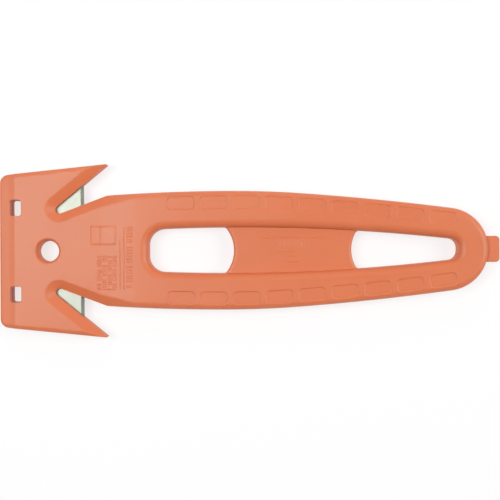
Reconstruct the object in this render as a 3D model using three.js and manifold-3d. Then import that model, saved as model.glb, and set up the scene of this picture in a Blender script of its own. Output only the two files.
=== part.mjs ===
// Double-hook safety cutter for film, strapping and tape.
// Two moulded half shells are welded together at the middle of the thickness, and each of
// the two throats has a small steel blade clamped between them. Nothing moves.
//
// Frame, in millimetres: the cutter lies flat on z = 0. X runs along it, with the hooks at
// -X and the tape-splitter tab at +X. Y runs across it, and it is symmetric about y = 0.
// Shapes are drawn in a half shell's own frame, where z = 0 is the parting plane and +Z
// points out of the shell's face.

import * as THREE from 'three';
import { mergeVertices } from 'three/addons/utils/BufferGeometryUtils.js';
import Module from 'manifold-3d';

const wasm = await Module();
wasm.setup();

// ---------------------------------------------------------------- driving dimensions

const LENGTH = 152;                 // nose to the end of the tab
const NOSE_X = -LENGTH / 2;
const HEAD_HALF_THICK = 3.0;
const HANDLE_HALF_THICK = 3.6;
const PARTING_GAP = 0.05;           // each shell stands this far off the parting plane

const HEAD = {
  noseHalfWidth: 23.07,             // where the outer edge would meet the nose
  cornerRadius: 2.7,
  outerSlope: 0.1013,               // the outer edges open towards the hook tips
  tipX: -43.2,
  tipRadius: 0.15,
};

// The nose is a shallow bevel and a short step up to the face: [distance from nose, height]
const NOSE_PROFILE = [[0, 1.9], [3.1, 2.5], [4.9, HEAD_HALF_THICK]];
const RAMP = { startX: -46, endX: -34 };          // head thickness grows to handle thickness

const THROAT = {
  apexX: -64.41,                    // where the two straight sides would meet
  apexY: 8.84,
  hookAngle: 38.83,                 // degrees from +X
  bodyAngle: 20.81,
  rootRadius: 1.22,
  flareWidth: 2.9,                  // sloped band around the throat on each face
  flareDepth: 1.6,
};

const OUTER = {
  crownX: -6,                       // where the handle is widest
  halfWidth: 18.03,
  headRadius: 570,                  // how each side bends from the crown towards the head,
  middleRadius: 290,                // from the crown to bendX
  bendX: 15,
  tailRadius: 774,                  // and from there to the round tail
  tailX: 59.75,                     // centre of the round tail
  edgeWidth: 2.0,                   // rounding of the outer edge
  edgeDepth: 1.8,
  shoulderRadius: 3.0,
};

const INNER = {
  crownX: -4.6,                     // the finger opening is widest here
  halfWidth: 6.97,
  sideRadius: 558.8,
  startX: -30.7,
  endX: 63.3,
  noseCornerRadius: 4.9,
  tailCornerRadius: 3.0,
  slopeWidth: 2.9,                  // sloped band around the finger opening
  slopeDepth: 1.9,
};

const WEB = {
  startX: -4.9,                     // its two ends are hollow arcs
  endX: 30.9,
  endRadius: 10.8,
  halfThick: 1.4,
  edge: 1.0,
  reach: 1.0,                       // it runs this far into the arms
};

const TAB = { halfWidth: 3.97, halfThick: 1.5, cornerRadius: 1.2, rootX: 70 };
const HANG_HOLE = { x: -61.2, radius: 3.15, rimWidth: 0.95, rimDepth: 1.7 };
const NOSE_SLOT = { x: -71.0, y: 13.1, sizeX: 3.4, sizeY: 4.75, cornerRadius: 0.6 };

const BLADE = {
  edgeX: -50.7,
  backX: -69.6,
  innerY: 9.7,
  outerY: 22.3,
  thick: 0.6,
  bevel: 1.0,                       // ground strip along the edge
  holeX: -65.3,
  holeY: 16.6,
  holeRadius: 1.6,
};
const POCKET_CLEARANCE = { side: 0.2, face: 0.05 };
const BLADE_BOSS = { radius: 1.4, reach: 0.8, socketRadius: 1.7, socketDepth: 1.2 };

// Weld posts stand on the rear shell and fit sockets in the front shell.
const WELD_POST = { radius: 1.2, reach: 1.3, socketRadius: 1.4, socketDepth: 1.6, root: 1.0 };
const WELD_ARM_X = [-15, 9, 33];
const WELD_CENTRE_X = [-45, 67.6];

// Cored pockets keep the walls of the moulding even. They open on the parting plane.
const CORE = { depth: 1.5, halfWidth: 2.6, rib: 6, startX: -36, endX: 54 };
const NECK_CORE = { startX: -53, endX: -37, innerY: 2.4, outerY: 8 };

// Shallow pads run along the outer edge of both arms.
const PAD = {
  firstX: -20.8,
  pitch: 9.9,
  count: 9,
  length: 8.0,
  width: 3.9,
  inset: 3.5,                       // from the outer side to the pad's middle
  depth: 0.3,
  cornerRadius: 1.2,
};

const ARC_STEPS = 8;                // steps of a half turn
const SIDE_STEPS = 10;              // steps of a long side
const HOLE_STEPS = 20;
const POST_STEPS = 10;

// ---------------------------------------------------------------- plan curves

const radians = (degrees) => degrees * Math.PI / 180;

/** Half width of the handle's outer side at x: three shallow parabolas that run into each other. */
function outerY(x) {
  const { crownX, halfWidth, headRadius, middleRadius, bendX, tailRadius } = OUTER;
  const ahead = Math.min(x - crownX, 0);
  const along = THREE.MathUtils.clamp(x - crownX, 0, bendX - crownX);
  const beyond = Math.max(x - bendX, 0);
  return halfWidth - ahead ** 2 / (2 * headRadius) - along ** 2 / (2 * middleRadius)
    - beyond * (bendX - crownX) / middleRadius - beyond ** 2 / (2 * tailRadius);
}

/** Slope of the handle's outer side at x. */
const outerSlope = (x) => (outerY(x + 0.01) - outerY(x - 0.01)) / 0.02;

/** Half width of the finger opening at x. */
const innerY = (x) => INNER.halfWidth - INNER.sideRadius
  + Math.sqrt(INNER.sideRadius ** 2 - (x - INNER.crownX) ** 2);

/** Half width of the head's outer edge at x. */
const headY = (x) => HEAD.noseHalfWidth + HEAD.outerSlope * (x - NOSE_X);

/** Half width of the throat's body side at x. */
const bodySideY = (x) => THROAT.apexY + Math.tan(radians(THROAT.bodyAngle)) * (x - THROAT.apexX);

/** Where a function of x changes sign between low and high. */
function crossing(f, low, high) {
  const before = Math.sign(f(low));
  for (let i = 0; i < 40; i += 1) {
    const middle = (low + high) / 2;
    if (Math.sign(f(middle)) === before) {
      low = middle;
    } else {
      high = middle;
    }
  }
  return low;
}

/** Where the throat's body side meets the handle's outer side. */
const SHOULDER_X = crossing((x) => outerY(x) - bodySideY(x), THROAT.apexX, OUTER.crownX);

/** Where a long side runs smoothly into the tail's arc. */
const TANGENT_X = crossing(
  (x) => x - OUTER.tailX + outerY(x) * outerSlope(x), OUTER.bendX, LENGTH / 2);
const TAIL_RADIUS = Math.hypot(TANGENT_X - OUTER.tailX, outerY(TANGENT_X));
const TAIL_ANGLE = Math.atan2(outerY(TANGENT_X), TANGENT_X - OUTER.tailX);

const point = (x, y, radius = 0) => ({ x, y, radius });

/** Points of a curve y = f(x), from one x to another. */
function alongCurve(f, fromX, toX, steps) {
  const points = [];
  for (let i = 0; i <= steps; i += 1) {
    const x = fromX + (toX - fromX) * i / steps;
    points.push(point(x, f(x)));
  }
  return points;
}

/** Points of a circular arc, in radians. */
function arc(x, y, radius, fromAngle, toAngle, steps) {
  const points = [];
  for (let i = 0; i <= steps; i += 1) {
    const angle = fromAngle + (toAngle - fromAngle) * i / steps;
    points.push(point(x + radius * Math.cos(angle), y + radius * Math.sin(angle)));
  }
  return points;
}

/** Replaces each corner that has a radius with an arc, and returns plain points. */
function roundCorners(corners) {
  const points = [];
  corners.forEach((corner, i) => {
    const here = new THREE.Vector2(corner.x, corner.y);
    if (!corner.radius) {
      points.push(here);
      return;
    }
    const before = corners[(i + corners.length - 1) % corners.length];
    const after = corners[(i + 1) % corners.length];
    const back = new THREE.Vector2(before.x, before.y).sub(here).normalize();
    const on = new THREE.Vector2(after.x, after.y).sub(here).normalize();
    const half = Math.acos(THREE.MathUtils.clamp(back.dot(on), -1, 1)) / 2;
    const centre = back.clone().add(on).normalize()
      .multiplyScalar(corner.radius / Math.sin(half)).add(here);
    const reach = corner.radius / Math.tan(half);
    const start = here.clone().addScaledVector(back, reach).sub(centre);
    const end = here.clone().addScaledVector(on, reach).sub(centre);
    const startAngle = Math.atan2(start.y, start.x);
    let turn = Math.atan2(end.y, end.x) - startAngle;
    turn = Math.atan2(Math.sin(turn), Math.cos(turn));
    const share = Math.min(1, corner.radius) * Math.abs(turn) / Math.PI;
    const steps = Math.max(1, Math.round(ARC_STEPS * share));
    for (let k = 0; k <= steps; k += 1) {
      const angle = startAngle + turn * k / steps;
      points.push(new THREE.Vector2(Math.cos(angle), Math.sin(angle))
        .multiplyScalar(corner.radius).add(centre));
    }
  });
  return points;
}

/** A closed outline from its +Y half, given from the nose end to the tail end. */
function symmetricOutline(upper) {
  const lower = upper.filter((p) => p.y > 1e-6).map((p) => point(p.x, -p.y, p.radius));
  return roundCorners([...upper, ...lower.reverse()]);
}

// ---------------------------------------------------------------- solids

/** A manifold solid from a closed three.js geometry. */
function solid(geometry) {
  geometry.deleteAttribute('normal');
  geometry.deleteAttribute('uv');
  const merged = mergeVertices(geometry, 1e-4);
  return new wasm.Manifold(new wasm.Mesh({
    numProp: 3,
    vertProperties: new Float32Array(merged.getAttribute('position').array),
    triVerts: new Uint32Array(merged.getIndex().array),
  }));
}

/** A straight prism of an outline between two heights. */
function prism(points, low, high) {
  const geometry = new THREE.ExtrudeGeometry(new THREE.Shape(points), {
    depth: high - low,
    bevelEnabled: false,
  });
  return solid(geometry.translate(0, 0, low));
}

/** A plate from low to high whose upper edge is rounded inwards by width and depth. */
function softPlate(points, low, high, width, depth, steps) {
  const geometry = new THREE.ExtrudeGeometry(new THREE.Shape(points), {
    depth: 2 * (high - low - depth),
    bevelEnabled: true,
    bevelThickness: depth,
    bevelSize: width,
    bevelOffset: -width,
    bevelSegments: steps,
  });
  geometry.translate(0, 0, low - (high - low - depth));
  return solid(geometry);
}

/** A cutter that is the outline's size at height low and wider by width at height high. */
function flaredCutter(points, low, high, width) {
  const margin = 0.3;               // the slope runs on past both heights by this share of itself
  const rise = high - low;
  const geometry = new THREE.ExtrudeGeometry(new THREE.Shape(points), {
    depth: 4,
    bevelEnabled: true,
    bevelThickness: rise * (1 + 2 * margin),
    bevelSize: width * (1 + 2 * margin),
    bevelOffset: -width * margin,
    bevelSegments: 1,
  });
  geometry.translate(0, 0, high + rise * margin);
  return solid(geometry);
}

/** A rounded rectangle, centred on x and y and turned by angle. */
function rectangle(x, y, sizeX, sizeY, radius, angle = 0) {
  const corners = [[-1, -1], [1, -1], [1, 1], [-1, 1]].map(([sx, sy]) => {
    const corner = new THREE.Vector2(sx * sizeX / 2, sy * sizeY / 2);
    corner.rotateAround(new THREE.Vector2(), angle);
    return point(x + corner.x, y + corner.y, radius);
  });
  return roundCorners(corners);
}

/** A solid of revolution about a vertical axis at x and y: the profile is [radius, height]. */
function turned(profile, x, y, steps) {
  const outline = profile.map(([radius, height]) => new THREE.Vector2(radius, height));
  const geometry = new THREE.LatheGeometry(outline, steps);
  return solid(geometry.rotateX(Math.PI / 2).translate(x, y, 0));
}

const cylinder = (x, y, radius, low, high) => (
  turned([[0, low], [radius, low], [radius, high], [0, high]], x, y, POST_STEPS));

/** A solid and its mirror image across y = 0, which is a half turn about X for a prism. */
const bothSides = (make) => make(1).add(make(-1));

// ---------------------------------------------------------------- the moulding

/** Whole plan of the moulding without its tab. */
function silhouette() {
  return symmetricOutline([
    point(NOSE_X, headY(NOSE_X), HEAD.cornerRadius),
    point(HEAD.tipX, headY(HEAD.tipX), HEAD.tipRadius),
    point(THROAT.apexX, THROAT.apexY, THROAT.rootRadius),
    point(SHOULDER_X, outerY(SHOULDER_X), OUTER.shoulderRadius),
    ...alongCurve(outerY, SHOULDER_X + 2, TANGENT_X, SIDE_STEPS),
    ...arc(OUTER.tailX, 0, TAIL_RADIUS, TAIL_ANGLE, 0, ARC_STEPS).slice(1),
  ]);
}

/** Plan that carries the rounded outer edge: it skips the throats, which have their own slope. */
function edgeOutline() {
  return symmetricOutline([
    point(NOSE_X, headY(NOSE_X), HEAD.cornerRadius),
    point(RAMP.endX, headY(RAMP.endX)),
    ...alongCurve(outerY, RAMP.endX, TANGENT_X, SIDE_STEPS),
    ...arc(OUTER.tailX, 0, TAIL_RADIUS, TAIL_ANGLE, 0, ARC_STEPS).slice(1),
  ]);
}

/** The finger opening, from end to end, as if the web weren't there. */
function openingOutline() {
  return symmetricOutline([
    point(INNER.startX, innerY(INNER.startX), INNER.noseCornerRadius),
    ...alongCurve(innerY, INNER.startX + 8, INNER.endX - 8, SIDE_STEPS),
    point(INNER.endX, innerY(INNER.endX), INNER.tailCornerRadius),
  ]);
}

/** The web between the two windows, a little wider than the opening so that it joins the arms. */
function webOutline() {
  const y = innerY((WEB.startX + WEB.endX) / 2) + WEB.reach;
  const spread = Math.asin(y / WEB.endRadius);
  const noseEnd = arc(WEB.startX - WEB.endRadius, 0, WEB.endRadius, spread, -spread, ARC_STEPS);
  const tailEnd = arc(WEB.endX + WEB.endRadius, 0, WEB.endRadius,
    Math.PI + spread, Math.PI - spread, ARC_STEPS);
  return [...noseEnd, ...tailEnd].map((p) => new THREE.Vector2(p.x, p.y));
}

/** One throat as a plain wedge, running out past the hook. */
function throatOutline(side) {
  const reach = 48;
  const far = (angle) => point(
    THROAT.apexX + reach * Math.cos(radians(angle)),
    side * (THROAT.apexY + reach * Math.sin(radians(angle))));
  return roundCorners([
    point(THROAT.apexX, side * THROAT.apexY, THROAT.rootRadius),
    far(THROAT.bodyAngle),
    far(THROAT.hookAngle),
  ]);
}

/** Side view of one half, extruded across: the nose bevel, the head, the ramp and the handle. */
function sideProfile() {
  const top = NOSE_PROFILE.map(([along, height]) => new THREE.Vector2(NOSE_X + along, height));
  const outline = [
    new THREE.Vector2(NOSE_X - 1, PARTING_GAP),
    new THREE.Vector2(LENGTH / 2 + 1, PARTING_GAP),
    new THREE.Vector2(LENGTH / 2 + 1, HANDLE_HALF_THICK),
    new THREE.Vector2(RAMP.endX, HANDLE_HALF_THICK),
    new THREE.Vector2(RAMP.startX, HEAD_HALF_THICK),
    ...top.reverse(),
    new THREE.Vector2(NOSE_X - 1, NOSE_PROFILE[0][1]),
  ];
  const width = 80;
  const settings = { depth: width, bevelEnabled: false };
  const geometry = new THREE.ExtrudeGeometry(new THREE.Shape(outline), settings);
  return solid(geometry.translate(0, 0, -width / 2).rotateX(Math.PI / 2));
}

/** The tape-splitter tab at the tail. */
function tab() {
  const middle = (TAB.rootX + LENGTH / 2) / 2;
  const outline = rectangle(middle, 0, LENGTH / 2 - TAB.rootX, 2 * TAB.halfWidth, TAB.cornerRadius);
  return prism(outline, PARTING_GAP, TAB.halfThick);
}

/** The hang hole, whose rim is rounded: its steps follow a quarter of an ellipse. */
function hangHole() {
  const { x, radius, rimWidth, rimDepth } = HANG_HOLE;
  const rim = [15, 45, 75].map((degrees) => [
    radius + rimWidth * (1 - Math.cos(radians(degrees))),
    HEAD_HALF_THICK - rimDepth * (1 - Math.sin(radians(degrees))),
  ]);
  const top = HEAD_HALF_THICK + 1;
  const profile = [[0, -1], [radius, -1], [radius, HEAD_HALF_THICK - rimDepth], ...rim];
  profile.push([radius + rimWidth, HEAD_HALF_THICK], [radius + rimWidth, top], [0, top]);
  return turned(profile, x, 0, HOLE_STEPS);
}

/** The two small slots behind the nose. */
function noseSlots() {
  const { x, y, sizeX, sizeY, cornerRadius } = NOSE_SLOT;
  return bothSides((side) => prism(rectangle(x, side * y, sizeX, sizeY, cornerRadius), -1, 5));
}

/** The shallow pads along both arms. */
function gripPads() {
  const cutters = [];
  for (let i = 0; i < PAD.count; i += 1) {
    const x = PAD.firstX + i * PAD.pitch;
    const tilt = Math.atan(outerSlope(x));
    [1, -1].forEach((side) => {
      const y = side * (outerY(x) - PAD.inset);
      const outline = rectangle(x, y, PAD.length, PAD.width, PAD.cornerRadius, side * tilt);
      cutters.push(prism(outline, HANDLE_HALF_THICK - PAD.depth, HANDLE_HALF_THICK + 1));
    });
  }
  return cutters.reduce((all, one) => all.add(one));
}

/** Cored pockets of the arms and neck. */
function corePockets() {
  const pockets = [];
  const arms = WELD_ARM_X.map((x) => x - CORE.rib / 2);
  const starts = [CORE.startX, ...WELD_ARM_X.map((x) => x + CORE.rib / 2)];
  const ends = [...arms, CORE.endX];
  const middle = (x) => (outerY(x) + innerY(x)) / 2;
  starts.forEach((start, i) => {
    [1, -1].forEach((side) => {
      const low = alongCurve((x) => side * (middle(x) - CORE.halfWidth), start, ends[i], 4);
      const high = alongCurve((x) => side * (middle(x) + CORE.halfWidth), start, ends[i], 4);
      const outline = [...low, ...high.reverse()].map((p) => new THREE.Vector2(p.x, p.y));
      pockets.push(prism(outline, -1, CORE.depth));
    });
  });
  [1, -1].forEach((side) => {
    const { startX, endX, innerY: near, outerY: far } = NECK_CORE;
    const middleY = side * (near + far) / 2;
    const outline = rectangle((startX + endX) / 2, middleY, endX - startX, far - near, 1);
    pockets.push(prism(outline, -1, CORE.depth));
  });
  return pockets.reduce((all, one) => all.add(one));
}

/** The shallow bed that each blade lies in. */
function bladeBeds() {
  const { side: sideGap, face } = POCKET_CLEARANCE;
  const depth = BLADE.thick / 2 + face;
  const sizeX = BLADE.edgeX - BLADE.backX + 2 * sideGap;
  const sizeY = BLADE.outerY - BLADE.innerY + 2 * sideGap;
  return bothSides((side) => prism(rectangle((BLADE.edgeX + BLADE.backX) / 2,
    side * (BLADE.outerY + BLADE.innerY) / 2, sizeX, sizeY, 0), -1, depth));
}

/** Places of the weld posts, as [x, y]. */
function weldPlaces() {
  const arms = WELD_ARM_X.flatMap((x) => {
    const y = (outerY(x) + innerY(x)) / 2;
    return [[x, y], [x, -y]];
  });
  return [...arms, ...WELD_CENTRE_X.map((x) => [x, 0])];
}

/** What the two half shells have in common. */
function halfShell() {
  const topZ = HANDLE_HALF_THICK;
  const outside = prism(silhouette(), PARTING_GAP, topZ)
    .intersect(softPlate(edgeOutline(), 0, topZ, OUTER.edgeWidth, OUTER.edgeDepth, 2))
    .intersect(sideProfile());
  const opening = flaredCutter(openingOutline(), topZ - INNER.slopeDepth, topZ, INNER.slopeWidth)
    .add(prism(openingOutline(), -1, topZ));
  const web = softPlate(webOutline(), 0, WEB.halfThick, WEB.edge, WEB.edge / 2, 1)
    .intersect(sideProfile());
  const throats = bothSides((side) => flaredCutter(throatOutline(side),
    HEAD_HALF_THICK - THROAT.flareDepth, HEAD_HALF_THICK, THROAT.flareWidth));
  return outside
    .subtract(opening)
    .add(web)
    .add(tab())
    .subtract(throats)
    .subtract(hangHole())
    .subtract(noseSlots())
    .subtract(gripPads())
    .subtract(corePockets())
    .subtract(bladeBeds());
}

/** The front shell has sockets for the weld posts and the blade bosses. */
function frontShell(half) {
  const sockets = weldPlaces().map(([x, y]) => (
    cylinder(x, y, WELD_POST.socketRadius, -1, WELD_POST.socketDepth)));
  const { holeX: x, holeY: y } = BLADE;
  sockets.push(bothSides((side) => (
    cylinder(x, side * y, BLADE_BOSS.socketRadius, -1, BLADE_BOSS.socketDepth))));
  return sockets.reduce((shell, socket) => shell.subtract(socket), half);
}

/** The rear shell has the posts and bosses. */
function rearShell(half) {
  const posts = weldPlaces().map(([x, y]) => (
    cylinder(x, y, WELD_POST.radius, -WELD_POST.reach, WELD_POST.root)));
  const { holeX: x, holeY: y } = BLADE;
  posts.push(bothSides((side) => (
    cylinder(x, side * y, BLADE_BOSS.radius, -BLADE_BOSS.reach, WELD_POST.root))));
  return posts.reduce((shell, post) => shell.add(post), half);
}

/** A flat steel blade, ground on both sides to an edge that faces the tail. */
function blade(side) {
  const half = BLADE.thick / 2;
  const section = [
    new THREE.Vector2(BLADE.backX, -half),
    new THREE.Vector2(BLADE.edgeX - BLADE.bevel, -half),
    new THREE.Vector2(BLADE.edgeX, 0),
    new THREE.Vector2(BLADE.edgeX - BLADE.bevel, half),
    new THREE.Vector2(BLADE.backX, half),
  ];
  const length = BLADE.outerY - BLADE.innerY;
  const settings = { depth: length, bevelEnabled: false };
  const geometry = new THREE.ExtrudeGeometry(new THREE.Shape(section), settings);
  geometry.translate(0, 0, -length / 2).rotateX(Math.PI / 2);
  geometry.translate(0, side * (BLADE.innerY + BLADE.outerY) / 2, 0);
  return solid(geometry).subtract(cylinder(BLADE.holeX, side * BLADE.holeY, BLADE.holeRadius, -1, 1));
}

// ---------------------------------------------------------------- assembly

const MATERIALS = {
  shell: new THREE.MeshStandardMaterial({ color: 0xe0825f, roughness: 0.5, metalness: 0 }),
  steel: new THREE.MeshStandardMaterial({ color: 0xd4d6d0, roughness: 0.3, metalness: 1 }),
};

/** A named mesh of a solid. */
function node(name, shape, material) {
  const { vertProperties, triVerts } = shape.getMesh();
  const geometry = new THREE.BufferGeometry();
  geometry.setAttribute('position', new THREE.BufferAttribute(new Float32Array(vertProperties), 3));
  geometry.setIndex(new THREE.BufferAttribute(new Uint32Array(triVerts), 1));
  geometry.computeVertexNormals();
  const mesh = new THREE.Mesh(geometry, material);
  mesh.name = name;
  return mesh;
}

const half = halfShell();
const cutter = new THREE.Group();
cutter.position.z = HANDLE_HALF_THICK;         // the parting plane's height above the table

const front = node('front_shell', frontShell(half), MATERIALS.shell);
const rear = node('rear_shell', rearShell(half), MATERIALS.shell);
rear.rotation.x = Math.PI;                     // its face points down
cutter.add(front, rear);
cutter.add(node('upper_blade', blade(1), MATERIALS.steel));
cutter.add(node('lower_blade', blade(-1), MATERIALS.steel));

export default cutter;
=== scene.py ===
"""Double-hook safety cutter, lying flat on a pale table and seen from straight above.

The two half shells are fine relief meshes: a plan outline is triangulated together with the
lines where its slopes start and end, and every point is lifted to the height of the moulded
face. Shapes are worked out in millimetres in a half shell's own frame, where z = 0 is the
parting plane and the head is at -X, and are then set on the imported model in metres.
"""

import cmath
import math

import bpy
import numpy as np
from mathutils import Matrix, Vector
from mathutils.geometry import delaunay_2d_cdt
from mathutils.kdtree import KDTree


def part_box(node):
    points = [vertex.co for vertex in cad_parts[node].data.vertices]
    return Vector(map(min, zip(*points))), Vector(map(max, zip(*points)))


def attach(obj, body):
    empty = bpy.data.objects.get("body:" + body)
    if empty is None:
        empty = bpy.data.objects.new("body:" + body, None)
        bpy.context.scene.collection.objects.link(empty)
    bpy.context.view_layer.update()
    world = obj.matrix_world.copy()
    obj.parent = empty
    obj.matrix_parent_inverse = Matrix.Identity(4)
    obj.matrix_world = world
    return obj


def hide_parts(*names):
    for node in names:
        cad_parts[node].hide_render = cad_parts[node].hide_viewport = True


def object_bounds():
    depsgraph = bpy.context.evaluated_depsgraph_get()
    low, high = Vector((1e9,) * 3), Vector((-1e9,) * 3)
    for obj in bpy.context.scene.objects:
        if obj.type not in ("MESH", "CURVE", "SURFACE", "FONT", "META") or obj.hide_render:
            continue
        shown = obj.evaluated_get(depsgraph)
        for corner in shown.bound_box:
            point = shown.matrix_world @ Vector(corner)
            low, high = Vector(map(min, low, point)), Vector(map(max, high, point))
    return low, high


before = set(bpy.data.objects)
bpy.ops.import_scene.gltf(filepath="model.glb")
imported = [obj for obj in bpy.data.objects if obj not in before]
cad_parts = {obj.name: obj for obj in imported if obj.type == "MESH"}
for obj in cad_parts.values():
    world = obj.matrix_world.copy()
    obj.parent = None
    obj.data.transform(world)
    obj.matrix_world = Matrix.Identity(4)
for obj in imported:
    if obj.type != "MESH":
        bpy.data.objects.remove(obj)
CAD_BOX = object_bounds()

MM = 0.001
SHELL_LOW, SHELL_HIGH = (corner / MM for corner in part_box("front_shell"))
BLADE_LOW, BLADE_HIGH = (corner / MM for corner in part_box("upper_blade"))

# ------------------------------------------------------------------ dimensions, millimetres

NOSE_X = SHELL_LOW.x
END_X = SHELL_HIGH.x
PARTING_Z = (CAD_BOX[0].z + CAD_BOX[1].z) / 2 / MM       # height of the parting plane
TOP_Z = SHELL_HIGH.z - PARTING_Z                         # half the handle's thickness
HEAD_Z = 3.0                                             # half the head's thickness
PARTING_GAP = 0.05
SEAM = (0.12, 0.2)                                       # chamfer at the parting line: inset, rise

HEAD = {
    "nose_y": 23.07,
    "corner": 2.7,
    "slope": 0.1013,
    "tip_x": -43.2,
    "tip_radius": 0.15,
    "nose_edge": (0.8, 0.5),                             # rounding of the rim: width, depth
    "side_edge": (1.5, 1.2),
}
NOSE_STEPS = ((0, 1.9), (3.1, 2.5), (4.9, HEAD_Z))       # distance from the nose, height
NOSE_SOFTEN = 0.3
RAMP = (-46.0, -34.0)

THROAT = {
    "apex": complex(-64.41, 8.84),
    "hook_angle": math.radians(38.83),
    "body_angle": math.radians(20.81),
    "root": 1.22,
    "flare_depth": 1.6,
    "hook_flare": 3.1,                                   # width of the sloped band, per side
    "body_flare": 2.7,
    "crease": 0.15,
    "body_from_x": -55.0,                                # the side is all head ahead of this
}

# A long side bends evenly in three stretches: towards the head, from the crown to bend_x, and on
OUTER = {"crown_x": -6.0, "half": 18.03, "bend_x": 15.0, "radii": (570.0, 290.0, 774.0)}
TAIL_X = 59.75                                           # centre of the round tail
OUTER_EDGE = (2.0, 1.8)
SHOULDER = {"radius": 3.0, "reach": 2.0}                 # where the throat's body side meets it

INNER = {"crown_x": -4.6, "half": 6.97, "bend_x": 60.0, "radii": (559.0, 580.0, 580.0)}
OPENING = {
    "start_x": -30.7,
    "end_x": 63.3,
    "nose_corner": 4.9,
    "tail_corner": 2.9,
    "corner_room": 6.0,                                  # its sides' curves stop short of its ends
    "edge": (2.5, 2.3),
}

WEB = {
    "start_x": -4.9,
    "end_x": 30.9,
    "end_radius": 10.8,
    "fillet": 1.4,                                       # where its ends meet the arms
    "top": 1.4,
    "edge": (1.1, 0.6),
}
TAB = {"half": 3.97, "top": 1.5, "corner": 1.2, "root": 0.3, "sunk": 1.2, "edge": (0.35, 0.35)}
JOIN = {"reach": 0.5, "ease": 0.12}                      # where the web and the tab meet the rest
HOLE = {"x": -61.2, "radius": 3.15, "edge": (0.95, 1.7)}
SLOT = {"x": -71.0, "y": 13.1, "size": (3.4, 4.75), "corner": 0.6, "edge": (0.2, 0.2)}
PAD = {
    "first_x": -20.8,
    "pitch": 9.9,
    "count": 9,
    "size": (8.0, 3.9),
    "corner": 1.1,
    "inset": 3.5,
    "depth": 0.25,
    "edge": 0.5,
}
BED = {"side": 0.2, "face": 0.05, "edge": 0.1}           # room round a blade
MARK = {                                                 # plain relief: heights, and its edges
    "bar": 0.18,
    "tick": 0.16,
    "web_bar": 0.1,
    "web_tick": 0.08,
    "corner": 0.1,
    "edge": 0.24,
}

BLADE = {
    "bevel": 1.0,
    "edge": 0.03,                                        # half the thickness left at the edge
    "ease": 0.01,
    "corner": 0.4,
    "hole": complex(-65.3, 16.6),
    "hole_radius": 1.6,
}
BLADE_SEAM = (0.02, 0.02)
BLADE_CENTRE = complex((BLADE_LOW.x + BLADE_HIGH.x) / 2, (BLADE_LOW.y + BLADE_HIGH.y) / 2)
BLADE_SIZE = (BLADE_HIGH.x - BLADE_LOW.x, BLADE_HIGH.y - BLADE_LOW.y)
BLADE_HALF = (BLADE_HIGH.z - BLADE_LOW.z) / 2
BED_SIZE = tuple(length + 2 * BED["side"] for length in BLADE_SIZE)

# ------------------------------------------------------------------ mesh steps, millimetres

LINE_STEP = 0.6                                          # longest step along a shape line
FINE_STEP = 0.3                                          # the same, along the web's fillets
ARC_TURN = math.radians(12)                              # largest turn of a step along an arc
GRID_STEP = 1.6                                          # spacing of loose points on flats
GRID_CLEARANCE = 0.6                                     # share of it kept free beside a line
MERGE_DISTANCE = 0.001
OVERRUN = 6.0                                            # a side's lines start before the shoulder
TAIL_OVERRUN = 0.05                                      # and end past the tail's middle, radians
ROOT_OVERRUN = 6                                         # points of a flare's lines past the root
RIM_GUARD = 0.06                                         # from a rim to the line just beyond it
OPENING_GUARD = 0.25                                     # and to a second one in the opening
RIM_FALL = 8                                             # slope of the face beyond a rim
NOSE_SAMPLES = 7                                         # heights averaged to soften the nose steps
NOSE_LINES = (-NOSE_SOFTEN, -0.1, 0.1, NOSE_SOFTEN)
RAMP_LINES = 9
FLARE_LINES = (0.5, 0.93, 1.0, 1.07)                     # shares of a flare's width
PAD_LINES = (-0.25, -0.08, 0.08, 0.25)
MARK_LINES = (-0.12, 0.0, 0.12)
BEVEL_LINES = (-0.05, 0.05)
SLOPE_STEP = 0.01                                        # for slopes of a long side
NORMAL_STEP = 0.004                                      # for slopes of the face
NORMAL_INSET = 0.012                                     # a rim's normals are taken this far in
HEIGHT_INSET = 0.002                                     # and its heights this far
SHARP_TURN = math.radians(25)                            # walls that turn more have a hard edge
HALVINGS = 50
FILLET_ROUNDS = 8
BATCH = 4000


# ------------------------------------------------------------------ plan lines
# Points of the plan are complex numbers, x + y i.

def side_y(side, x):
    """Half width at x of a long side."""
    crown, bend = side["crown_x"], side["bend_x"]
    ahead_radius, along_radius, beyond_radius = side["radii"]
    ahead = np.minimum(x - crown, 0)
    along = np.clip(x - crown, 0, bend - crown)
    beyond = np.maximum(x - bend, 0)
    drop = ahead ** 2 / ahead_radius + along ** 2 / along_radius + beyond ** 2 / beyond_radius
    return side["half"] - drop / 2 - beyond * (bend - crown) / along_radius


def side_slope(side, x):
    return (side_y(side, x + SLOPE_STEP) - side_y(side, x - SLOPE_STEP)) / (2 * SLOPE_STEP)


def head_y(x):
    return HEAD["nose_y"] + HEAD["slope"] * (x - NOSE_X)


def body_side_y(x):
    apex = THROAT["apex"]
    return apex.imag + math.tan(THROAT["body_angle"]) * (x - apex.real)


def crossing(f, low, high):
    """Where f changes sign between low and high."""
    for _ in range(HALVINGS):
        middle = (low + high) / 2
        low, high = (middle, high) if f(middle) * f(low) > 0 else (low, middle)
    return low


SHOULDER_X = crossing(lambda x: body_side_y(x) - side_y(OUTER, x), THROAT["apex"].real, 0.0)
TANGENT_X = crossing(
    lambda x: x - TAIL_X + side_y(OUTER, x) * side_slope(OUTER, x), OUTER["bend_x"], END_X)
TAIL_RADIUS = math.hypot(TANGENT_X - TAIL_X, side_y(OUTER, TANGENT_X))
TAIL_ANGLE = math.atan2(side_y(OUTER, TANGENT_X), TANGENT_X - TAIL_X)


def arc(centre, radius, start, end, step=LINE_STEP):
    """Points of an arc, close enough together for its radius."""
    span = abs(end - start)
    count = max(2, math.ceil(span * radius / step), math.ceil(span / ARC_TURN))
    turns = [start + (end - start) * i / count for i in range(count + 1)]
    return [centre + cmath.rect(radius, turn) for turn in turns]


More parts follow.
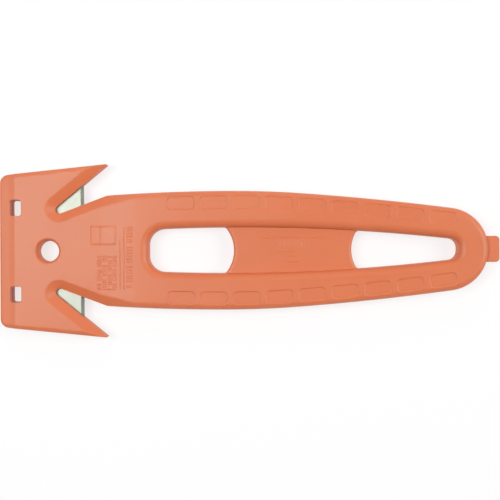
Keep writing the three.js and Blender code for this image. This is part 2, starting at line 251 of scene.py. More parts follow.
def curve(side, start, end, sign=1):
    """Points along a long side."""
    count = math.ceil(abs(end - start) / LINE_STEP)
    return [complex(x, sign * side_y(side, x)) for x in np.linspace(start, end, count + 1)]


def rounded(corners):
    """Points of a closed outline from (point, radius) corners."""
    points = []
    for i, (here, radius) in enumerate(corners):
        if not radius:
            points.append(here)
            continue
        back = corners[i - 1][0] - here
        on = corners[(i + 1) % len(corners)][0] - here
        back, on = back / abs(back), on / abs(on)
        half = abs(cmath.phase(on / back)) / 2
        bisector = (back + on) / abs(back + on)
        centre = here + bisector * radius / math.sin(half)
        start = cmath.phase(here + back * radius / math.tan(half) - centre)
        turn = cmath.phase((here + on * radius / math.tan(half) - centre) / cmath.rect(1, start))
        points += arc(centre, radius, start, start + turn)
    return points


def filled(points, closed=True):
    """The same line with its long stretches divided."""
    result = []
    ends = points[1:] + points[:1] if closed else points[1:]
    for a, b in zip(points, ends):
        count = max(1, math.ceil(abs(b - a) / LINE_STEP))
        result += [a + (b - a) * i / count for i in range(count)]
    return result if closed else result + [points[-1]]


def mirrored(upper):
    """A closed outline's corners from its +Y half, which runs from the nose to the tail."""
    return upper + [(p.conjugate(), radius) for p, radius in reversed(upper) if p.imag > 1e-6]


def box_corners(centre, size, radius, turn=0.0):
    """Corners of a rounded rectangle."""
    x, y = size[0] / 2, size[1] / 2
    signs = ((-1, -1), (1, -1), (1, 1), (-1, 1))
    return [(centre + complex(sx * x, sy * y) * cmath.rect(1, turn), radius) for sx, sy in signs]


def silhouette():
    """The cutter's outer outline, without its openings."""
    tab_x = TAIL_X + math.sqrt(TAIL_RADIUS ** 2 - TAB["half"] ** 2)
    tab_angle = math.asin(TAB["half"] / TAIL_RADIUS)
    upper = [
        (complex(NOSE_X, head_y(NOSE_X)), HEAD["corner"]),
        (complex(HEAD["tip_x"], head_y(HEAD["tip_x"])), HEAD["tip_radius"]),
        (THROAT["apex"], THROAT["root"]),
        (complex(SHOULDER_X, side_y(OUTER, SHOULDER_X)), SHOULDER["radius"]),
    ]
    upper += [(p, 0) for p in curve(OUTER, SHOULDER_X + SHOULDER["reach"], TANGENT_X)[:-1]]
    upper += [(p, 0) for p in arc(TAIL_X, TAIL_RADIUS, TAIL_ANGLE, tab_angle)[:-1]]
    upper += [(complex(tab_x, TAB["half"]), TAB["root"])]
    upper += [(complex(END_X, TAB["half"]), TAB["corner"])]
    return filled(rounded(mirrored(upper)))


def opening():
    """The finger opening as if the web weren't there."""
    start, end, room = OPENING["start_x"], OPENING["end_x"], OPENING["corner_room"]
    upper = [(complex(start, side_y(INNER, start)), OPENING["nose_corner"])]
    upper += [(p, 0) for p in curve(INNER, start + room, end - room)]
    upper += [(complex(end, side_y(INNER, end)), OPENING["tail_corner"])]
    return rounded(mirrored(upper))


def web_end_circle(tail):
    """Where on the long axis an end arc of the web is centred, and its way: +1 for the tail's."""
    if tail:
        return WEB["end_x"] + WEB["end_radius"], 1
    return WEB["start_x"] - WEB["end_radius"], -1


def web_fillet(tail):
    """The fillet between an end of the web and the +Y arm.

    Its centre, and the directions from there to where it meets the arm and the web's end.
    """
    centre, way = web_end_circle(tail)
    reach = WEB["end_radius"] - WEB["fillet"]
    x = centre - way * reach
    for _ in range(FILLET_ROUNDS):
        slope = side_slope(INNER, x)
        y = side_y(INNER, x) - WEB["fillet"] * math.hypot(1, slope)
        x = centre - way * math.sqrt(reach ** 2 - y ** 2)
    middle = complex(x, y)
    return middle, cmath.phase(complex(-slope, 1)), cmath.phase(middle - centre)


def web_end(tail):
    """The hollow arc at one end of the web with its fillets, from one arm to the other."""
    centre, way = web_end_circle(tail)
    middle, to_arm, to_web = web_fillet(tail)
    deepest = complex(centre - way * WEB["end_radius"], 0)
    half = arc(middle, WEB["fillet"], to_arm, to_web, FINE_STEP)[:-1]
    half += arc(centre, WEB["end_radius"], to_web, cmath.phase(deepest - centre))[:-1]
    return half + [deepest] + [p.conjugate() for p in reversed(half)]


def tab_rim():
    """The tab's edge, from just inside the tail and round."""
    size = (2 * (END_X - TAIL_X), 2 * TAB["half"])
    points = filled(rounded(box_corners(TAIL_X, size, TAB["corner"])))
    points = [p for p in points if p.real > TAIL_X + TAIL_RADIUS - TAB["sunk"]]
    return sorted(points, key=lambda p: cmath.phase(p - TAIL_X))


def wedge(reach=60.0):
    """The throat's edge: out along the hook, round the root and out along the body."""
    apex, root = THROAT["apex"], THROAT["root"]
    hook, body = (apex + cmath.rect(reach, THROAT[a]) for a in ("hook_angle", "body_angle"))
    return filled(rounded([(hook, 0), (apex, root), (body, 0)]), closed=False)


# ------------------------------------------------------------------ distances in the plan
# Each takes arrays x and y, with y on the +Y side, and is positive in the material.

def edge_of_head(x, y):
    """Distance in from the head's rim, and the rounding's width and depth there."""
    radius, slope = HEAD["corner"], HEAD["slope"]
    scale = math.hypot(1, slope)
    from_nose = x - NOSE_X
    from_side = (head_y(x) - y) / scale
    centre_x = NOSE_X + radius
    centre_y = head_y(centre_x) - radius * scale
    dx, dy = x - centre_x, y - centre_y
    fan = (dy > 0) & (dx + slope * dy < 0)
    distance = np.where(fan, radius - np.hypot(dx, dy), np.minimum(from_nose, from_side))
    turn = np.arctan2(dy, -dx) / (math.pi / 2 + math.atan(slope))
    share = np.where(fan, smooth(turn), np.where(from_nose < from_side, 0.0, 1.0))
    width, depth = (a + (b - a) * share for a, b in zip(HEAD["nose_edge"], HEAD["side_edge"]))
    return distance, width, depth


def edge_of_body(x, y):
    """Distance in from the handle's outer side and round tail."""
    from_side = (side_y(OUTER, x) - y) / np.hypot(1, side_slope(OUTER, x))
    from_tail = TAIL_RADIUS - np.hypot(x - TAIL_X, y)
    tail = (x - TAIL_X) * math.sin(TAIL_ANGLE) - y * math.cos(TAIL_ANGLE) > 0
    return np.where(tail, from_tail, from_side)


def edge_of_throat(x, y):
    """Distance from the throat, and how much of it is measured from the hook's side."""
    apex, root = THROAT["apex"], THROAT["root"]
    hook, body = cmath.rect(1, THROAT["hook_angle"]), cmath.rect(1, THROAT["body_angle"])
    middle = (THROAT["hook_angle"] + THROAT["body_angle"]) / 2
    half = (THROAT["hook_angle"] - THROAT["body_angle"]) / 2
    centre = apex + cmath.rect(root / math.sin(half), middle)
    dx, dy = x - apex.real, y - apex.imag
    from_hook = dy * hook.real - dx * hook.imag
    from_body = dx * body.imag - dy * body.real
    cx, cy = x - centre.real, y - centre.imag
    fan = (cx * hook.real + cy * hook.imag < 0) & (cx * body.real + cy * body.imag < 0)
    distance = np.where(fan, np.hypot(cx, cy) - root, np.maximum(from_hook, from_body))
    away = cx * math.cos(middle) + cy * math.sin(middle)
    across = cy * math.cos(middle) - cx * math.sin(middle)
    turn = np.arctan2(across, -away) / (math.pi / 2 - half)
    hook_share = np.where(fan, smooth(0.5 + turn / 2), (from_hook > from_body) * 1.0)
    return distance, hook_share


def edge_of_opening(x, y):
    """Distance out from the finger opening: from its sides, its ends or a corner's centre."""
    nose_corner, tail_corner = OPENING["nose_corner"], OPENING["tail_corner"]
    low_x, high_x = OPENING["start_x"] + nose_corner, OPENING["end_x"] - tail_corner
    beside = (y - side_y(INNER, x)) / np.hypot(1, side_slope(INNER, x))
    at_nose = x < INNER["crown_x"]
    corner = np.where(at_nose, nose_corner, tail_corner)
    end_x = np.where(at_nose, low_x, high_x)
    end_y = np.maximum(side_y(INNER, end_x) - corner, 0)
    past = np.maximum(np.maximum(low_x - x, x - high_x), 0)
    at_end = np.hypot(past, np.maximum(y - end_y, 0)) - corner
    return np.where(past > 0, at_end, beside)


def edge_of_web(x, y):
    """Distance in from the nearer end of the web."""
    radius = WEB["end_radius"]
    gaps = []
    for tail in (False, True):
        centre, way = web_end_circle(tail)
        gap = np.hypot(np.maximum(way * (centre - x), 0), y) - radius
        middle, to_arm, to_web = web_fillet(tail)
        from_middle = (x - middle.real) + 1j * (y - middle.imag)
        past_arm = (from_middle * cmath.rect(1, -to_arm)).imag * way > 0
        past_web = (from_middle * cmath.rect(1, -to_web)).imag * way < 0
        gaps.append(np.where(past_arm & past_web, np.abs(from_middle) - WEB["fillet"], gap))
    return np.minimum(*gaps)


def outside_box(x, y, centre, size, corner, turn=0.0):
    """Distance outside a rounded rectangle."""
    local = ((x - centre.real) + 1j * (y - centre.imag)) * cmath.rect(1, -turn)
    dx = np.abs(local.real) - size[0] / 2 + corner
    dy = np.abs(local.imag) - size[1] / 2 + corner
    outside = np.hypot(np.maximum(dx, 0), np.maximum(dy, 0))
    return outside + np.minimum(np.maximum(dx, dy), 0) - corner


# ------------------------------------------------------------------ height of the face

def smooth(t):
    t = np.clip(t, 0, 1)
    return t * t * (3 - 2 * t)


def lowest(a, b, radius):
    """The lower of two heights, with the crease between them eased."""
    gap = np.clip(0.5 + (b - a) / (2 * radius), 0, 1)
    return b + (a - b) * gap - radius * gap * (1 - gap)


def highest(a, b, radius):
    return -lowest(-a, -b, radius)


def rim_drop(distance, edge):
    """How far an elliptically rounded rim has dropped at a distance from its edge."""
    width, depth = edge
    share = np.clip(1 - distance / width, 0, 1)
    return depth * (1 - np.sqrt(1 - share * share))


def along_height(x):
    """Height of the face along the cutter, before any rim is rounded."""
    distances, heights = zip(*NOSE_STEPS)
    shifts = np.linspace(-NOSE_SOFTEN, NOSE_SOFTEN, NOSE_SAMPLES)
    nose = sum(np.interp(x - NOSE_X + s, distances, heights) for s in shifts) / len(shifts)
    return nose + (TOP_Z - HEAD_Z) * smooth((x - RAMP[0]) / (RAMP[1] - RAMP[0]))


def pad_places():
    """Centre and turn of each pad on the +Y arm."""
    for i in range(PAD["count"]):
        x = PAD["first_x"] + i * PAD["pitch"]
        turn = math.atan(side_slope(OUTER, x))
        yield complex(x, side_y(OUTER, x) - PAD["inset"]), turn


def bars(places, size, rise):
    """Plain bars of one size: centre, size and height of each."""
    return [(complex(x, y), size, rise) for x, y in places]


def ticks(x, first_y, pitch, count, size, period, shift=0):
    """A column of short bars, with one in each period left out."""
    rows = [i for i in range(count) if (i + shift) % period != period - 1]
    return bars([(x, first_y - pitch * i) for i in rows], size, MARK["tick"])


def marks():
    """Plain raised bars and ticks on the neck and web: centre, size and height."""
    result = bars([(-44.3, 2.0), (-44.3, 7.4)], (7.6, 0.35), MARK["bar"])
    result += bars([(-48.0, 4.7), (-45.2, 4.7), (-40.6, 4.7)], (0.35, 5.2), MARK["bar"])
    result += bars([(-39.2, -4.0)], (0.3, 15.0), MARK["bar"])
    result += bars([(-38.0, -2.3)], (0.3, 18.6), MARK["bar"])
    for column, x in enumerate((-45.6, -44.0, -42.4, -40.9)):
        result += ticks(x, -1.7, 0.7, 15, (1.1, 0.33), 6, 2 * column)
    result += ticks(-36.4, 7.0, 0.85, 22, (1.7, 0.36), 7)
    result += bars([(13.0, 3.8)], (19.0, 0.35), MARK["web_bar"])
    result += bars([(12.5, -3.5)], (4.0, 0.4), MARK["web_bar"])
    zigzag = [(9.2 + 1.25 * i, 2.0 - 0.4 * (i % 2)) for i in range(8)]
    result += bars(zigzag, (0.4, 1.6), MARK["web_tick"])
    result += bars([(11.0, -0.3)], (5.0, 0.35), MARK["web_tick"])
    result += bars([(12.6, -1.8)], (2.6, 0.35), MARK["web_tick"])
    return result


def face_height(x, signed_y, marked):
    """Height of the moulded face above the parting plane."""
    y = np.abs(signed_y)
    height = along_height(x)

    throat, hook_share = edge_of_throat(x, y)
    apex = THROAT["apex"]
    middle = (THROAT["hook_angle"] + THROAT["body_angle"]) / 2
    below = (y - apex.imag) * math.cos(middle) < (x - apex.real) * math.sin(middle)
    body = below & (x > THROAT["body_from_x"])
    from_head_edge, *head_edge = edge_of_head(x, y)
    head_rim = rim_drop(from_head_edge, head_edge)
    from_side = edge_of_body(x, y)
    height = height - np.where(body, rim_drop(from_side, OUTER_EDGE), head_rim)
    height = height + np.where(body, np.minimum(from_side, 0) * RIM_FALL, 0)

    opening_gap = edge_of_opening(x, y)
    height = height - rim_drop(opening_gap, OPENING["edge"])
    height = height + np.minimum(opening_gap, 0) * RIM_FALL
    web = WEB["top"] - rim_drop(edge_of_web(x, y), WEB["edge"])
    in_opening = opening_gap < JOIN["reach"]
    height = np.where(in_opening, highest(height, web, JOIN["ease"]), height)

    tab_size = (2 * (END_X - TAIL_X), 2 * TAB["half"])
    tab_gap = -outside_box(x, y, complex(TAIL_X, 0), tab_size, TAB["corner"])
    tab = TAB["top"] - rim_drop(tab_gap, TAB["edge"])
    at_tab = body & (from_side < JOIN["reach"]) & (x > TAIL_X)
    height = np.where(at_tab, highest(height, tab, JOIN["ease"]), height)

    width = THROAT["body_flare"] + (THROAT["hook_flare"] - THROAT["body_flare"]) * hook_share
    flare = HEAD_Z - THROAT["flare_depth"] * (1 - throat / width)
    height = lowest(height, flare, THROAT["crease"])

    hole = np.hypot(x - HOLE["x"], y) - HOLE["radius"]
    height = height - rim_drop(hole, HOLE["edge"])
    slot = outside_box(x, y, complex(SLOT["x"], SLOT["y"]), SLOT["size"], SLOT["corner"])
    height = height - rim_drop(slot, SLOT["edge"])

    for centre, turn in pad_places():
        gap = outside_box(x, y, centre, PAD["size"], PAD["corner"], turn)
        height = height - PAD["depth"] * smooth(0.5 - gap / PAD["edge"])
    if marked:
        for centre, size, rise in marks():
            near = np.hypot(x - centre.real, signed_y - centre.imag) < max(size)
            gap = outside_box(x[near], signed_y[near], centre, size, MARK["corner"])
            height[near] += rise * smooth(0.5 - gap / MARK["edge"])
    return height


# ------------------------------------------------------------------ relief meshes

def shifted(points, distance, closed=True):
    """A line moved sideways by a distance, to the left of the way it runs."""
    p = np.array(points)
    if closed:
        along = np.roll(p, -1) - np.roll(p, 1)
    else:
        along = np.gradient(p)
    return list(p + 1j * along / np.abs(along) * distance)


def rim_offsets(width, count=6):
    """Distances from a rim at which an elliptical rounding has turned by equal steps."""
    return [width * (1 - math.cos(math.pi / 2 * i / count)) for i in range(1, count + 1)]


def both(lines):
    """Open or closed lines with their mirror images across y = 0."""
    return lines + [([p.conjugate() for p in line], closed) for line, closed in lines]


def shape_lines(marked):
    """Lines of the plan that the mesh's edges should follow, as (points, closed)."""
    lines = []
    tip = complex(RAMP[1], head_y(RAMP[1]))
    head = rounded([
        (complex(NOSE_X, -1), 0),
        (complex(NOSE_X, head_y(NOSE_X)), HEAD["corner"]),
        (tip, 0),
    ])
    head = filled(head, closed=False)
    body = curve(OUTER, SHOULDER_X - OVERRUN, TANGENT_X)[:-1]
    body += arc(TAIL_X, TAIL_RADIUS, TAIL_ANGLE, -TAIL_OVERRUN)
    side = []
    for offset in rim_offsets(HEAD["side_edge"][0]):
        side.append((shifted(head, -offset, False), False))
    for offset in [-RIM_GUARD, 0.0] + rim_offsets(OUTER_EDGE[0]):
        side.append((shifted(body, -offset, False), False))
    throat = wedge()
    for share in FLARE_LINES:
        offset = share * THROAT["hook_flare"]
        side.append((shifted(throat, -offset, False)[: len(throat) // 2 + ROOT_OVERRUN], False))
        offset = share * THROAT["body_flare"]
        side.append((shifted(throat, -offset, False)[len(throat) // 2 - ROOT_OVERRUN:], False))
    for centre, turn in pad_places():
        corners = rounded(box_corners(centre, PAD["size"], PAD["corner"], turn))
        for offset in PAD_LINES:
            side.append((shifted(corners, offset), True))
    slot = rounded(box_corners(complex(SLOT["x"], SLOT["y"]), SLOT["size"], SLOT["corner"]))
    for offset in rim_offsets(SLOT["edge"][0], 3):
        side.append((shifted(slot, -offset), True))
    lines += both(side)

    opened = filled(opening())
    for offset in [-RIM_GUARD, 0.0, -OPENING_GUARD] + rim_offsets(OPENING["edge"][0], 7):
        lines.append((shifted(opened, offset), True))
    for offset in rim_offsets(TAB["edge"][0], 3):
        lines.append((shifted(tab_rim(), offset, False), False))
    hole = arc(HOLE["x"], HOLE["radius"], 0, 2 * math.pi)[:-1]
    for offset in rim_offsets(HOLE["edge"][0]):
        lines.append((shifted(hole, -offset), True))
    for tail in (False, True):
        end = web_end(tail)
        for offset in rim_offsets(WEB["edge"][0], 4):
            lines.append((shifted(end, -offset if tail else offset, False), False))
    nose_at = [NOSE_X + distance for distance, _ in NOSE_STEPS[1:]]
    rows = [x + s for x in nose_at for s in NOSE_LINES]
    rows += list(np.linspace(*RAMP, RAMP_LINES))
    for x in rows:
        reach = head_y(x)
        lines.append((filled([complex(x, -reach), complex(x, reach)], closed=False), False))
    if marked:
        for centre, size, _ in marks():
            corners = filled(rounded(box_corners(centre, size, MARK["corner"])))
            for offset in MARK_LINES:
                lines.append((shifted(corners, -offset), True))
    return lines


def inside(points, outline):
    """Which points lie within an outline, counting how often a ray crosses it."""
    hits = np.zeros(len(points), bool)
    a = np.array(outline)
    b = np.roll(a, -1)
    rise = np.where(b.imag == a.imag, 1, b.imag - a.imag)
    for i in range(0, len(points), BATCH):
        p = points[i:i + BATCH, None]
        spans = (a.imag > p.imag) != (b.imag > p.imag)
        at = a.real + (p.imag - a.imag) * (b.real - a.real) / rise
        hits[i:i + BATCH] = np.sum(spans & (p.real < at), axis=1) % 2 == 1
    return hits


def loose_points(outline, taken):
    """Evenly spread points on the flats, clear of every line."""
    tree = KDTree(len(taken))
    for i, p in enumerate(taken):
        tree.insert((p.real, p.imag, 0), i)
    tree.balance()
    low, high = min(p.real for p in outline), max(p.real for p in outline)
    reach = max(p.imag for p in outline)
    points = []
    for row, y in enumerate(np.arange(-reach, reach, GRID_STEP * math.sqrt(3) / 2)):
        points += [complex(x + row % 2 * GRID_STEP / 2, y) for x in np.arange(low, high, GRID_STEP)]
    clearance = GRID_CLEARANCE * GRID_STEP
    return [p for p in points if tree.find((p.real, p.imag, 0))[2] > clearance]


def triangulated(outline, rims, lines, solid):
    """Triangles of the plan where it is solid, with the rims and lines as edges."""
    points, edges = [], []
    for k, (line, closed) in enumerate([(outline, True)] + rims + lines):
        on_edge = k <= len(rims)
        keep = np.ones(len(line), bool) if on_edge else solid(np.array(line))
        start = len(points)
        points += [complex(p) for p in line]
        for i in range(len(line) if closed else len(line) - 1):
            j = (i + 1) % len(line)
            if keep[i] or keep[j]:
                edges.append((start + i, start + j))
    used = sorted({i for edge in edges for i in edge})
    index = {old: new for new, old in enumerate(used)}
    points = [points[i] for i in used]
    edges = [(index[a], index[b]) for a, b in edges]
    points += loose_points(outline, points)
    flat = [Vector((p.real, p.imag)) for p in points]
    verts, _, faces, *_ = delaunay_2d_cdt(flat, edges, [], 0, MERGE_DISTANCE)
    plan = np.array([complex(v.x, v.y) for v in verts])
    faces = np.array(faces)
    faces = faces[solid(plan[faces].mean(axis=1))]
    used, faces = np.unique(faces, return_inverse=True)
    return plan[used], faces.reshape(-1, 3)


def rim_edges(faces):
    """Edges that belong to one triangle only, in the way that triangle runs."""
    sides = np.concatenate([faces[:, [0, 1]], faces[:, [1, 2]], faces[:, [2, 0]]])
    count = faces.max() + 1
    key = sides[:, 0] * count + sides[:, 1]
    back = sides[:, 1] * count + sides[:, 0]
    return sides[~np.isin(key, back)]


def upward_normals(height, points):
    """Unit normals of a relief at points of its plan."""
    step = NORMAL_STEP
    slope_x = (height(points + step) - height(points - step)) / (2 * step)
    slope_y = (height(points + 1j * step) - height(points - 1j * step)) / (2 * step)
    normals = np.stack([-slope_x, -slope_y, np.ones(len(points))], axis=1)
    return normals / np.linalg.norm(normals, axis=1)[:, None]


def outward(plan, rim):
    """Directions out of the plan, at its points, where they are 0 off the rim, and at rim edges."""
    along = plan[rim[:, 1]] - plan[rim[:, 0]]
    at_edges = -1j * along / np.abs(along)
    at_points = np.zeros(len(plan), complex)
    np.add.at(at_points, rim[:, 0], at_edges)
    np.add.at(at_points, rim[:, 1], at_edges)
    on_rim = np.abs(at_points) > 0
    at_points[on_rim] /= np.abs(at_points[on_rim])
    return at_points, at_edges


def wall_normals(at_points, at_edges):
    """Level normals at one end of each rim edge, shared with the next wall unless it turns away."""
    sharp = np.abs(np.angle(at_points / at_edges)) > SHARP_TURN
    level = np.where(sharp, at_edges, at_points)
    return np.stack([level.real, level.imag, np.zeros(len(level))], axis=1)


def with_height(plan, height):
    return np.stack([plan.real, plan.imag, height], axis=1)


def mesh_piece(name, points, polygons, normals):
    """An object from points in metres, its polygons and a normal for each of their corners."""
    mesh = bpy.data.meshes.new(name)
    mesh.from_pydata(points.tolist(), [], polygons)
    mesh.polygons.foreach_set("use_smooth", [True] * len(polygons))
    mesh.normals_split_custom_set(normals.tolist())
    mesh.validate()
    piece = bpy.data.objects.new(name, mesh)
    bpy.context.scene.collection.objects.link(piece)
    print(f"{name}: {len(polygons)} faces")
    return piece


def relief_piece(name, plan, faces, top, bottom, seam, place):
    """A closed mesh over a plan, from height bottom to height top.

    seam is the chamfer (inset, rise) at the foot of its walls, and place takes the finished
    coordinates to the piece's place on the cutter.
    """
    rim = rim_edges(faces)
    out, side = outward(plan, rim)
    rim_points = np.flatnonzero(np.abs(out) > 0)
    inset, rise = seam

    low = bottom(plan)
    height = np.maximum(top(plan - out * HEIGHT_INSET), low + 2 * rise)
    upper = with_height(plan, height)
    belt = with_height(plan, low + rise)[rim_points]
    lower = with_height(plan - out * inset, low)

    count = len(plan)
    rim_index = np.full(count, -1)
    rim_index[rim_points] = np.arange(len(rim_points))
    a, b = rim[:, 0], rim[:, 1]
    belt_a, belt_b = count + rim_index[a], count + rim_index[b]
    base = count + len(rim_points)
    walls = np.stack([b, a, belt_a, belt_b], axis=1)
    chamfers = np.stack([belt_b, belt_a, base + a, base + b], axis=1)
    backs = faces[:, ::-1]
    polygons = faces.tolist() + walls.tolist() + chamfers.tolist() + (base + backs).tolist()

    probe = plan - out * NORMAL_INSET
    normal_a, normal_b = (wall_normals(out[end], side) for end in (a, b))
    wall_corners = np.stack([normal_b, normal_a, normal_a, normal_b], axis=1)
    normals = np.concatenate([
        upward_normals(top, probe)[faces].reshape(-1, 3),
        wall_corners.reshape(-1, 3),
        (wall_corners + np.array([0, 0, -inset / rise])).reshape(-1, 3),
        -upward_normals(bottom, probe)[backs].reshape(-1, 3),
    ])
    normals /= np.linalg.norm(normals, axis=1)[:, None]
    points = place(np.concatenate([upper, belt, lower]), 1) * MM
    return mesh_piece(name, points, polygons, place(normals, 0))


# Each takes a shell's own coordinates to the cutter's: moves is 1 for points, 0 for directions.

def front_place(points, moves):
    return points + np.array([0, 0, PARTING_Z]) * moves


def rear_place(points, moves):
    return points * np.array([1, -1, -1]) + np.array([0, 0, PARTING_Z]) * moves


def underside(plan):
    """Height of a shell's underside: flat, with a shallow bed for each blade."""
    gap = outside_box(plan.real, np.abs(plan.imag), BLADE_CENTRE, BED_SIZE, 0.0)
    depth = BLADE_HALF + BED["face"]
    return PARTING_GAP + (depth - PARTING_GAP) * smooth(1 - gap / BED["edge"])


def bed_lines():
    bed = filled([p for p, _ in box_corners(BLADE_CENTRE, BED_SIZE, 0)])
    return both([(bed, True), (shifted(bed, -BED["edge"]), True)])


def make_shell(name, place, marked):
    """One half of the moulding."""
    outline = silhouette()
    hole = arc(HOLE["x"], HOLE["radius"], 0, 2 * math.pi)[:-1]
    slot_centre = complex(SLOT["x"], SLOT["y"])
    slot = filled(rounded(box_corners(slot_centre, SLOT["size"], SLOT["corner"])))
    rims = both([(slot, True)]) + [(hole, True), (filled(opening()), True)]
    rims += [(web_end(tail), False) for tail in (False, True)]

    def solid(plan):
        x, y = plan.real, np.abs(plan.imag)
        window = (edge_of_opening(x, y) < 0) & (edge_of_web(x, y) < 0)
        bore = np.hypot(x - HOLE["x"], y) < HOLE["radius"]
        through = outside_box(x, y, slot_centre, SLOT["size"], SLOT["corner"]) < 0
        return inside(plan, outline) & ~(window | bore | through)

    def top(plan):
        return face_height(plan.real, plan.imag, marked)

    lines = shape_lines(marked) + bed_lines()
    plan, faces = triangulated(outline, rims, lines, solid)
    return relief_piece(name, plan, faces, top, underside, SEAM, place)


# ------------------------------------------------------------------ blades

def blade_thickness(x):
    """Half the blade's thickness: flat, then ground to the cutting edge."""
    ground = BLADE["edge"] + (BLADE_HALF - BLADE["edge"]) * (BLADE_HIGH.x - x) / BLADE["bevel"]
    return lowest(BLADE_HALF, ground, BLADE["ease"])


def make_blade(name, place):
    """A flat blade with a ground edge that faces the tail, and a hole for its boss."""
    corners = box_corners(BLADE_CENTRE, BLADE_SIZE, 0)
    back_corners = [(p, BLADE["corner"] if p.real < BLADE_CENTRE.real else 0) for p, _ in corners]
    outline = filled(rounded(back_corners))
    hole = arc(BLADE["hole"], BLADE["hole_radius"], 0, 2 * math.pi)[:-1]
    lines = []
    for shift in BEVEL_LINES:
        x = BLADE_HIGH.x - BLADE["bevel"] + shift
        across = [complex(x, BLADE_LOW.y), complex(x, BLADE_HIGH.y)]
        lines.append((filled(across, closed=False), False))

    def solid(plan):
        return inside(plan, outline) & (np.abs(plan - BLADE["hole"]) > BLADE["hole_radius"])

    def top(plan):
        return blade_thickness(plan.real)

    def bottom(plan):
        return -blade_thickness(plan.real)

    plan, faces = triangulated(outline, [(hole, True)], lines, solid)
    return relief_piece(name, plan, faces, top, bottom, BLADE_SEAM, place)


# ------------------------------------------------------------------ materials

def srgb(red, green, blue):
    """Linear colour of an sRGB colour from 0 to 255."""
    channels = [c / 255 for c in (red, green, blue)]
    linear = [c / 12.92 if c <= 0.04045 else ((c + 0.055) / 1.055) ** 2.4 for c in channels]
    return (*linear, 1.0)


def new_material(name):
    """A material with its nodes, its shader and a coordinate node in metres."""
    material = bpy.data.materials.new(name)
    material.use_nodes = True
    nodes = material.node_tree.nodes
    shader = nodes["Principled BSDF"]
    return material, nodes, material.node_tree.links, shader, nodes.new("ShaderNodeTexCoord")


def noise(nodes, links, vector, scale, detail):
    texture = nodes.new("ShaderNodeTexNoise")
    texture.inputs["Scale"].default_value = scale
    texture.inputs["Detail"].default_value = detail
    links.new(vector, texture.inputs["Vector"])
    return texture.outputs["Fac"]


def ranged(nodes, links, value, low, high, source=(0.3, 0.7)):
    """A value spread from its source range, which suits noise, over another."""
    spread = nodes.new("ShaderNodeMapRange")
    spread.inputs["From Min"].default_value = source[0]
    spread.inputs["From Max"].default_value = source[1]
    spread.inputs["To Min"].default_value = low
    spread.inputs["To Max"].default_value = high
    links.new(value, spread.inputs["Value"])
    return spread.outputs["Result"]


def mixed(nodes, links, factor, colour_a, colour_b):
    mix = nodes.new("ShaderNodeMix")
    mix.data_type = "RGBA"
    mix.inputs["A"].default_value = colour_a
    mix.inputs["B"].default_value = colour_b
    links.new(factor, mix.inputs["Factor"])
    return mix.outputs["Result"]


def bumped(nodes, links, height, strength, distance):
    bump = nodes.new("ShaderNodeBump")
    bump.inputs["Strength"].default_value = strength
    bump.inputs["Distance"].default_value = distance
    links.new(height, bump.inputs["Height"])
    return bump.outputs["Normal"]


PLASTIC_LOOK = {
    "colours": (srgb(215, 112, 68), srgb(218, 117, 73)),
    "flow": (55, 3),                                     # noise: scale per metre, detail
    "grain": (2600, 2),
    "roughness": (0.40, 0.50),
    "relief": (0.25, 0.00002),                           # strength, and depth in metres
    "specular": 0.6,
    "gloss_tint": (0.2, 0.88, 0.95, 1.0),                # matches a look, not a real plastic
}
STEEL_LINES = (1000, 4)
STEEL_RELIEF = (0.15, 0.00001)
FLAT_LOOK = {
    "colours": (srgb(168, 172, 160), srgb(182, 186, 174)),
    "roughness": (0.48, 0.58),
    "stretch": (6, 0.3, 1),                              # how fine the lines are along each axis
}
GROUND_LOOK = {
    "colours": (srgb(148, 152, 141), srgb(168, 171, 159)),
    "roughness": (0.35, 0.5),
    "stretch": (0.4, 6, 1),
}


def moulded_plastic():
    """Salmon-orange plastic with a fine spark-eroded texture and slight flow mottling."""
    look = PLASTIC_LOOK
    material, nodes, links, shader, coordinates = new_material("moulded_plastic")
    place = coordinates.outputs["Object"]
    flow = ranged(nodes, links, noise(nodes, links, place, *look["flow"]), 0, 1)
    colour = mixed(nodes, links, flow, *look["colours"])
    grain = noise(nodes, links, place, *look["grain"])
    links.new(colour, shader.inputs["Base Color"])
    links.new(ranged(nodes, links, grain, *look["roughness"]), shader.inputs["Roughness"])
    links.new(bumped(nodes, links, grain, *look["relief"]), shader.inputs["Normal"])
    shader.inputs["Specular IOR Level"].default_value = look["specular"]
    shader.inputs["Specular Tint"].default_value = look["gloss_tint"]
    return material


def brushed_steel(name, look):
    """Steel with fine lines."""
    material, nodes, links, shader, coordinates = new_material(name)
    mapping = nodes.new("ShaderNodeMapping")
    mapping.inputs["Scale"].default_value = look["stretch"]
    links.new(coordinates.outputs["Object"], mapping.inputs["Vector"])
    lines = noise(nodes, links, mapping.outputs["Vector"], *STEEL_LINES)
    links.new(mixed(nodes, links, lines, *look["colours"]), shader.inputs["Base Color"])
    links.new(ranged(nodes, links, lines, *look["roughness"]), shader.inputs["Roughness"])
    links.new(bumped(nodes, links, lines, *STEEL_RELIEF), shader.inputs["Normal"])
    shader.inputs["Metallic"].default_value = 1.0
    return material


PLASTIC = moulded_plastic()
STEEL_FLAT = brushed_steel("polished_steel", FLAT_LOOK)
STEEL_GROUND = brushed_steel("ground_steel", GROUND_LOOK)
BEVEL_TILT = 0.1                                         # faces that lean more are ground


# ------------------------------------------------------------------ the cutter

pieces = {
    "front_shell": make_shell("front_moulding", front_place, True),
    "rear_shell": make_shell("rear_moulding", rear_place, False),
    "upper_blade": make_blade("upper_steel", front_place),
    "lower_blade": make_blade("lower_steel", rear_place),
}
for node, piece in pieces.items():
    blade = node.endswith("blade")
    piece.data.materials.append(STEEL_FLAT if blade else PLASTIC)
    if blade:
        piece.data.materials.append(STEEL_GROUND)
        for polygon in piece.data.polygons:
            polygon.material_index = int(abs(polygon.normal.x) > BEVEL_TILT)
    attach(piece, "root")
    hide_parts(node)


# ------------------------------------------------------------------ stage

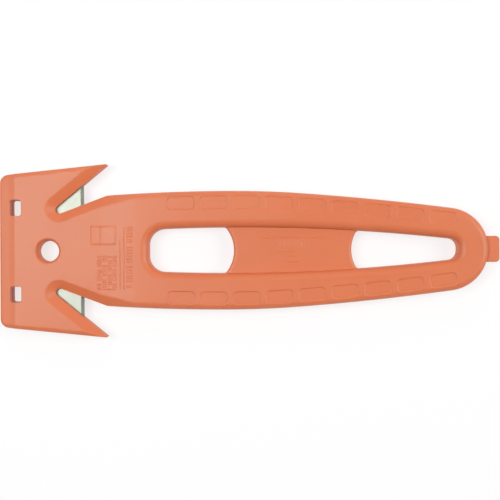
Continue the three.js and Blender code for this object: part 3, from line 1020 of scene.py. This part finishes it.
FLOOR = {
    "size": 3,
    "colours": (srgb(135, 135, 135), srgb(138, 138, 138)),
    "cloud": (6, 2),
    "roughness": 0.9,
    "specular": 0.1,
    "glow": 0.73,                                        # it gives off light, to look near white
}
WORLD = {"low": 0.6, "high": 0.05, "fade_z": (0.22, 0.42)}
LIGHTS = (                                               # place and size in metres, and watts
    ("gloss_light", (-0.27, 0.02, 0.50), (0.25, 0.30), 1.38),
    ("near_light", (-0.14, 0.03, 0.30), (0.12, 0.20), 0.23),
    ("right_light", (0.42, 0.06, 0.36), (0.26, 0.30), 1.7),
    ("top_light", (-0.05, 0.42, 0.26), (0.60, 0.20), 0.42),
    ("high_light", (-0.05, 0.28, 0.50), (0.40, 0.20), 0.18),
    ("bottom_light", (0.0, -0.50, 0.40), (0.50, 0.40), 0.22),
)
CAMERA_ABOVE_HEAD = 0.245
VIEW_WIDTH = 0.15305                                     # seen at the parting plane
SENSOR = 36.0
CAMERA_ROLL = math.radians(-0.29)
CAMERA_Y = 0.00003
CLIP_START = 0.01


def make_floor():
    """A plain floor under the cutter."""
    bpy.ops.mesh.primitive_plane_add(size=FLOOR["size"], location=(0, 0, CAD_BOX[0].z))
    floor = bpy.context.object
    floor.name = "floor"
    material, nodes, links, shader, coordinates = new_material("pale_floor")
    cloudy = noise(nodes, links, coordinates.outputs["Object"], *FLOOR["cloud"])
    colour = mixed(nodes, links, cloudy, *FLOOR["colours"])
    links.new(colour, shader.inputs["Base Color"])
    shader.inputs["Roughness"].default_value = FLOOR["roughness"]
    shader.inputs["Specular IOR Level"].default_value = FLOOR["specular"]
    shader.inputs["Emission Color"].default_value = (1.0, 1.0, 1.0, 1.0)
    shader.inputs["Emission Strength"].default_value = FLOOR["glow"]
    floor.data.materials.append(material)


def make_light(name, place, size, power):
    """A soft area light that faces the middle of the cutter."""
    light = bpy.data.lights.new(name, "AREA")
    light.shape = "RECTANGLE"
    light.size, light.size_y = size
    light.energy = power
    lamp = bpy.data.objects.new(name, light)
    lamp.location = place
    lamp.visible_camera = False
    lamp.rotation_mode = "QUATERNION"
    lamp.rotation_quaternion = (-Vector(place)).to_track_quat("-Z", "Y")
    bpy.context.scene.collection.objects.link(lamp)


def make_world():
    """A studio that is pale low down all round and dim overhead."""
    world = bpy.data.worlds.new("studio")
    world.use_nodes = True
    nodes, links = world.node_tree.nodes, world.node_tree.links
    directions = nodes.new("ShaderNodeTexCoord").outputs["Generated"]
    split = nodes.new("ShaderNodeSeparateXYZ")
    links.new(directions, split.inputs["Vector"])
    background = nodes["Background"]
    background.inputs["Color"].default_value = (1.0, 1.0, 1.0, 1.0)
    strength = ranged(nodes, links, split.outputs["Z"], WORLD["low"], WORLD["high"], WORLD["fade_z"])
    links.new(strength, background.inputs["Strength"])
    bpy.context.scene.world = world


def make_camera():
    """Straight above the middle of the cutter."""
    height = (PARTING_Z + HEAD_Z) * MM + CAMERA_ABOVE_HEAD
    camera = bpy.data.cameras.new("camera")
    camera.sensor_width = SENSOR
    camera.lens = SENSOR * (height - PARTING_Z * MM) / VIEW_WIDTH
    camera.clip_start = CLIP_START
    eye = bpy.data.objects.new("camera", camera)
    eye.location = (0, CAMERA_Y, height)
    eye.rotation_euler = (0, 0, CAMERA_ROLL)
    bpy.context.scene.collection.objects.link(eye)
    bpy.context.scene.camera = eye


make_floor()
make_world()
for light in LIGHTS:
    make_light(*light)
make_camera()
bpy.context.scene.view_settings.view_transform = "Standard"
